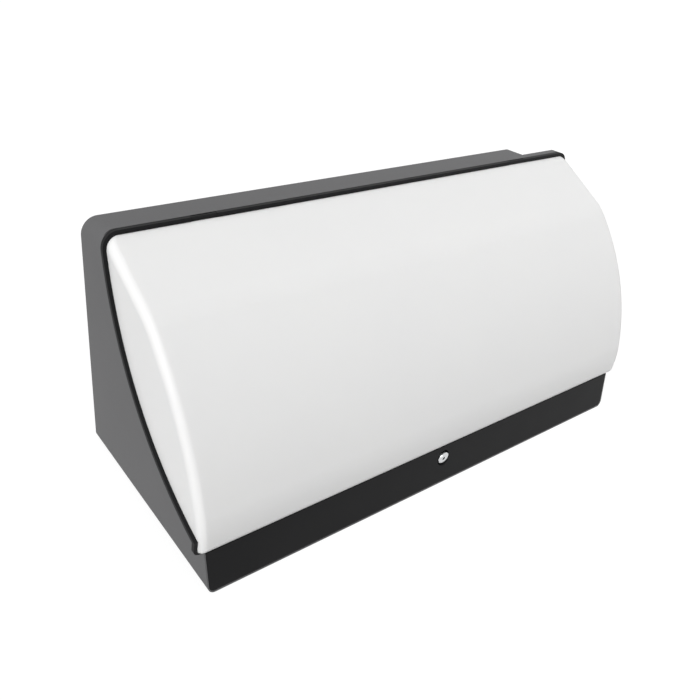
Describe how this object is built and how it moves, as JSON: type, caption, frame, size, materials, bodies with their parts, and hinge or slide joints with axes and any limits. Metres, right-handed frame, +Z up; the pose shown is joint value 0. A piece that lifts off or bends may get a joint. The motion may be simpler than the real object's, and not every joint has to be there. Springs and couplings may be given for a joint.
{
  "type": "wall pack light",
  "caption": "Wedge-shaped wall light: flared die-cast housing, opal wrap diffuser in a black rim, and a top-hinged cover held by a front screw.",
  "frame": {"origin": "middle of the four wall fixings, on the wall plane at the back face of the housing", "axes": "+X along the width to the viewer's right, -Y out of the wall towards the viewer, +Z up"},
  "size_m": [0.3404, 0.135, 0.1478],
  "materials": {
    "housing_paint": "fine satin powder coat",
    "seal_rubber": "matte moulded silicone",
    "brass_turned": "turned",
    "tray_paint": "white gloss reflector paint",
    "zinc_steel": "bright zinc plate",
    "board_face": "white solder mask",
    "chip_phosphor": "phosphor-filled silicone",
    "plug_plastic": "natural nylon",
    "driver_metal": "drawn, satin",
    "black_plastic": "moulded",
    "potting": "cast filling compound",
    "terminal_plastic": "moulded nylon",
    "brown_sleeve": "extruded sleeve",
    "blue_sleeve": "extruded sleeve",
    "green_sleeve": "extruded sleeve, green with yellow stripe",
    "red_sleeve": "extruded sleeve",
    "black_sleeve": "extruded sleeve",
    "rim_plastic": "fine-grained black moulding",
    "opal_plastic": "opal, soft gloss",
    "stainless": "bright stainless"
  },
  "bodies": {
    "body": {"housing": "housing_paint", "mouth_seal": "seal_rubber", "screw_insert": "brass_turned", "cable_grommet": "seal_rubber", "gear_tray": "tray_paint", "tray_screws": "zinc_steel", "light_board_lower": "board_face", "light_board_middle": "board_face", "light_board_upper": "board_face", "light_chips_lower": "chip_phosphor", "light_chips_middle": "chip_phosphor", "light_chips_upper": "chip_phosphor", "board_screws": "zinc_steel", "board_plugs": "plug_plastic", "board_jumper_lower": "red_sleeve", "board_jumper_upper": "red_sleeve", "driver_case": "driver_metal", "driver_end_left": "black_plastic", "driver_end_right": "black_plastic", "driver_fill": "potting", "driver_screws": "zinc_steel", "terminal_body": "terminal_plastic", "terminal_clamps": "brass_turned", "terminal_screws": "zinc_steel", "terminal_fixings": "zinc_steel", "earth_tag": "brass_turned", "earth_washer": "zinc_steel", "earth_screw": "zinc_steel", "live_wire": "brown_sleeve", "neutral_wire": "blue_sleeve", "earth_wire": "green_sleeve", "light_wire_positive": "red_sleeve", "light_wire_negative": "black_sleeve", "hinge_knuckle_left": "rim_plastic", "hinge_knuckle_right": "rim_plastic", "hinge_pin_left": "stainless", "hinge_pin_right": "stainless"},
    "cover": {"cover_rim": "rim_plastic", "diffuser": "opal_plastic", "lens_seal": "seal_rubber", "cover_screw_seal": "seal_rubber"},
    "screw": {"cover_screw": "stainless", "cover_screw_washer": "zinc_steel"}
  },
  "joints": [
    {"name": "cover_hinge", "type": "hinge", "parent": "body", "child": "cover", "pos_m": [0, -0.0364, 0.07665], "axis": [-1, 0, 0], "range_deg": [0, 85]},
    {"name": "screw_travel", "type": "slide", "parent": "cover", "child": "screw", "axis": [0, 1, 0], "range_m": [0, 0.0028]}
  ]
}
